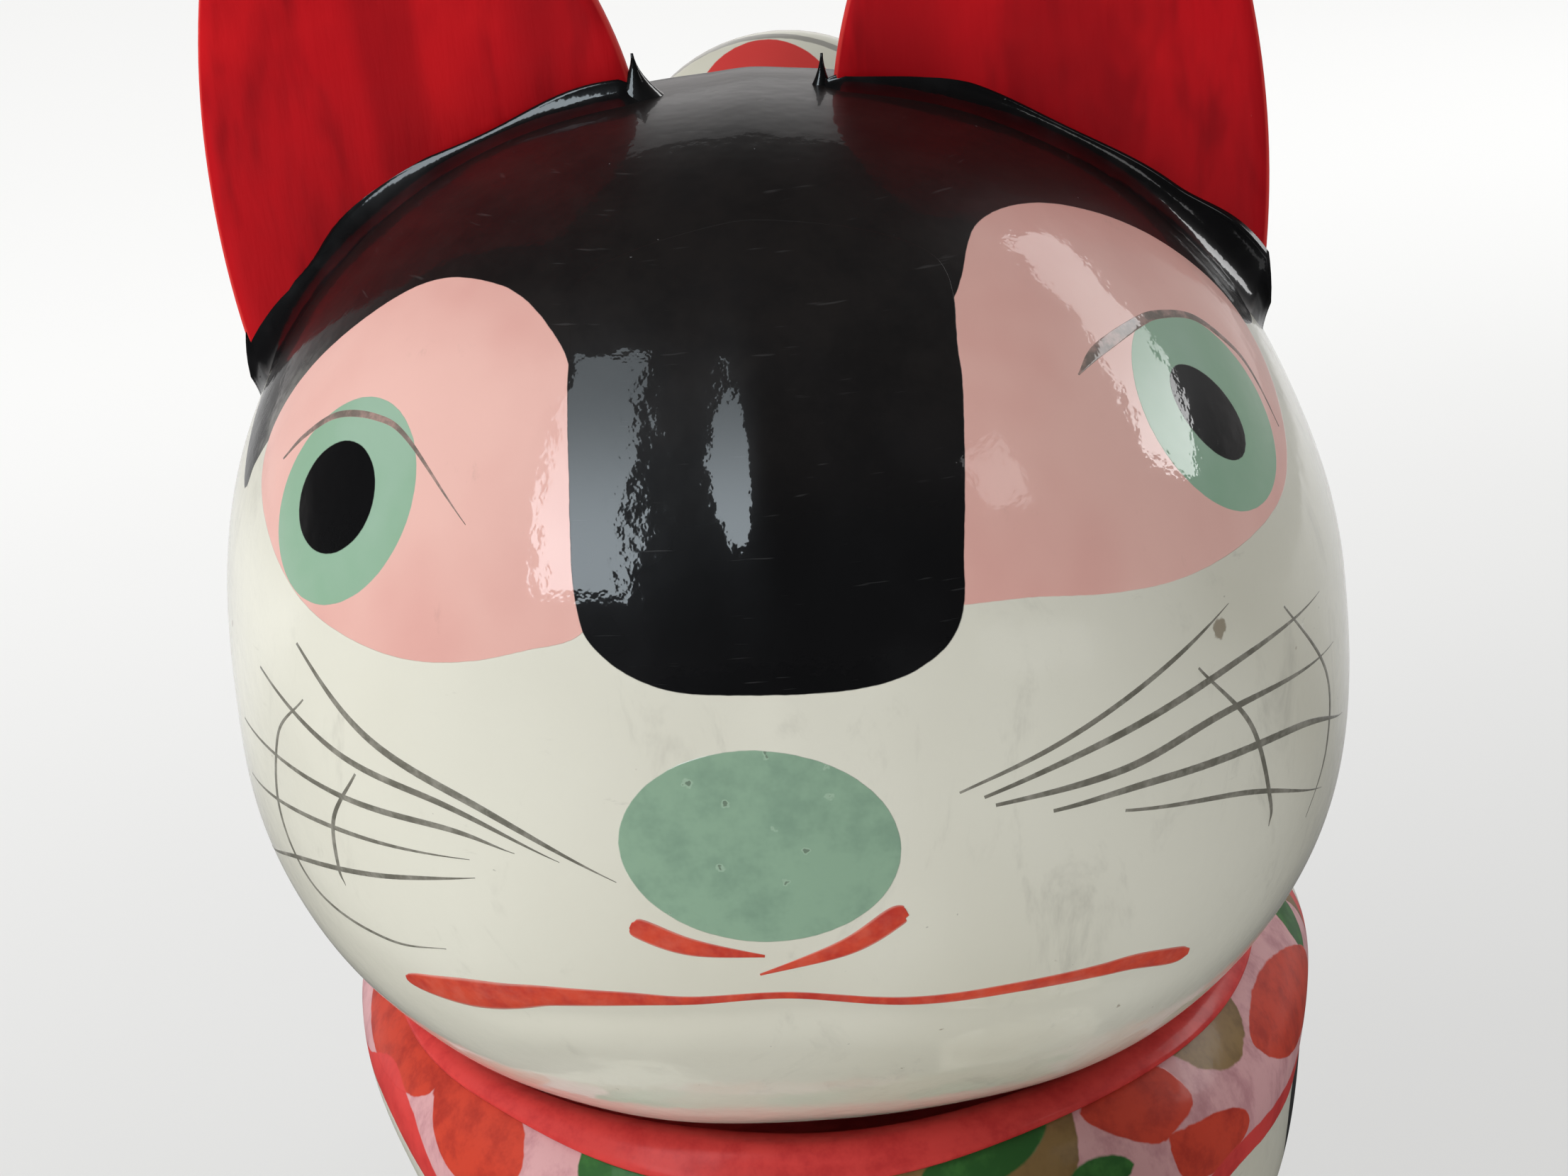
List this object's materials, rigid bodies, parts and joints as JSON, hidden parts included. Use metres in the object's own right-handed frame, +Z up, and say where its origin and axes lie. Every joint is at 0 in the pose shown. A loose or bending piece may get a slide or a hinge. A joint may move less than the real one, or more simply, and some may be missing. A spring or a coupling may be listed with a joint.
{
  "type": "beckoning cat figurine",
  "caption": "Lacquered papier-mache cat standing on short legs with one forepaw raised, a floral bib, a red neck band, card ears and a nodding head hung inside on wires.",
  "frame": {"origin": "centre of the bounding box at ground level, under the soles", "axes": "+Z up, the cat faces -Y, its own left side is +X"},
  "size_m": [0.0841, 0.1331, 0.153],
  "materials": {
    "painted_paper": "gloss lacquer over painted gofun ground",
    "bare_paper": "matt pasted paper",
    "collar_lacquer": "gloss red lacquer on paper cord",
    "sole_card": "matt",
    "ear_card": "satin red lacquer, black back",
    "bead_lacquer": "gloss black lacquer and glue",
    "bamboo": "bare split bamboo",
    "steel_wire": "drawn wire",
    "raw_clay": "matt dried clay"
  },
  "bodies": {
    "root": {"body_left_shell": "painted_paper", "body_right_shell": "painted_paper", "body_seam_strip": "bare_paper", "neck_cap": "bare_paper", "collar_band": "collar_lacquer", "standing_foreleg": "painted_paper", "beckoning_foreleg": "painted_paper", "rear_left_leg": "painted_paper", "rear_right_leg": "painted_paper", "foot_soles": "sole_card", "leg_pegs": "bamboo", "tail": "painted_paper", "tail_peg": "bamboo", "clay_ballast": "raw_clay", "post_crossbar": "bamboo", "neck_post": "bamboo"},
    "hanger": {"hanger_block": "bamboo", "sway_pin": "steel_wire", "nod_pin": "steel_wire"},
    "head": {"head_lugs": "bamboo", "head_crossbar": "bamboo", "head_left_shell": "painted_paper", "head_right_shell": "painted_paper", "head_seam_strip": "bare_paper", "ear_left": "ear_card", "ear_right": "ear_card", "ear_left_bead": "bead_lacquer", "ear_right_bead": "bead_lacquer"}
  },
  "joints": [
    {"name": "head_sway", "type": "hinge", "parent": "root", "child": "hanger", "pos_m": [-0.0001, -0.02536, 0.09], "axis": [0, 1, 0], "range_deg": [-5, 5]},
    {"name": "head_nod", "type": "hinge", "parent": "hanger", "child": "head", "pos_m": [-0.0001, -0.02536, 0.095], "axis": [1, 0, 0], "range_deg": [-4, 6]}
  ]
}
